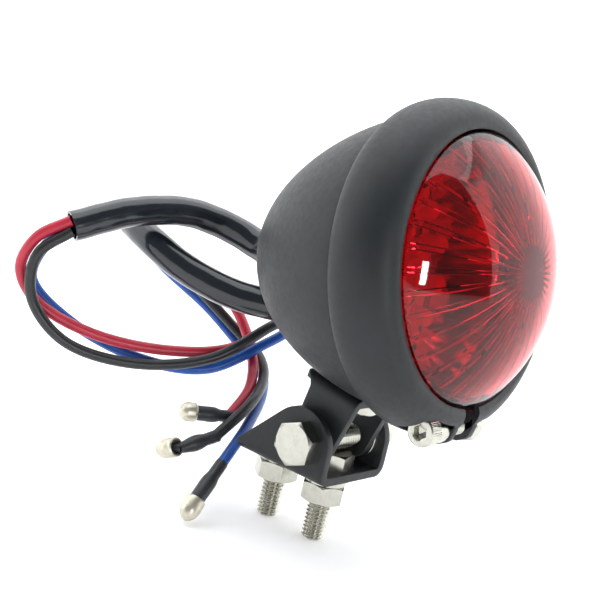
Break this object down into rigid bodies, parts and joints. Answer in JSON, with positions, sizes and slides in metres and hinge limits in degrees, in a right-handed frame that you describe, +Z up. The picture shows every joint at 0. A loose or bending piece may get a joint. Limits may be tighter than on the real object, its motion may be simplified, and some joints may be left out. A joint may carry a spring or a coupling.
{
  "type": "motorcycle tail light",
  "caption": "Round bullet-shaped motorcycle tail light with a fluted red dome lens, split visor rim and a tilting two-channel bracket on two studs, with a short sleeved cable.",
  "frame": {"origin": "midway between the axes of the two mounting studs, on the base plate's underside, where it seats on the fender", "axes": "+Z up out of the mounting face, -Y the way the lens faces, +X towards the pivot nut"},
  "size_m": [0.0792, 0.1306, 0.1124],
  "materials": {
    "black_coat": "satin powder coat",
    "stainless": "bright stainless",
    "red_lens": "clear moulded acrylic, polished",
    "black_rubber": "matt",
    "reflector_chrome": "vacuum metallised",
    "board": "solder mask",
    "led_clear": "moulded epoxy",
    "chip_black": "matt",
    "sleeve_vinyl": "glossy vinyl",
    "wire_red": "soft satin vinyl",
    "wire_black": "soft satin vinyl",
    "wire_blue": "soft satin vinyl",
    "shrink_black": "satin",
    "terminal_metal": "tinned brass"
  },
  "bodies": {
    "bracket": {"lower_bracket": "black_coat", "pivot_bolt": "stainless", "pivot_washers": "stainless", "pivot_nut": "stainless", "mounting_bolts": "stainless", "mounting_flat_washers": "stainless", "mounting_lock_washers": "stainless", "mounting_nuts": "stainless"},
    "lamp": {"housing": "black_coat", "visor_rim": "black_coat", "rim_clamp_screw": "stainless", "rim_clamp_spacer": "stainless", "rim_clamp_nut": "stainless", "lens": "red_lens", "lens_gasket": "black_rubber", "reflector": "reflector_chrome", "led_board": "board", "led_emitters": "led_clear", "board_resistors": "chip_black", "board_standoffs": "stainless", "board_screws": "stainless", "upper_bracket": "black_coat", "saddle_screws": "stainless", "saddle_nuts": "stainless", "cable_grommet": "black_rubber", "cable_sleeve": "sleeve_vinyl", "tail_sleeve": "sleeve_vinyl", "red_wire": "wire_red", "black_wire": "wire_black", "blue_wire": "wire_blue", "red_tail": "wire_red", "black_tail": "wire_black", "blue_tail": "wire_blue", "red_shrink": "shrink_black", "black_shrink": "shrink_black", "blue_shrink": "shrink_black", "red_terminal": "terminal_metal", "black_terminal": "terminal_metal", "blue_terminal": "terminal_metal"}
  },
  "joints": [
    {"name": "tilt", "type": "hinge", "parent": "bracket", "child": "lamp", "pos_m": [0, -0.0074, 0.0087], "axis": [1, 0, 0], "range_deg": [-25, 25]}
  ]
}
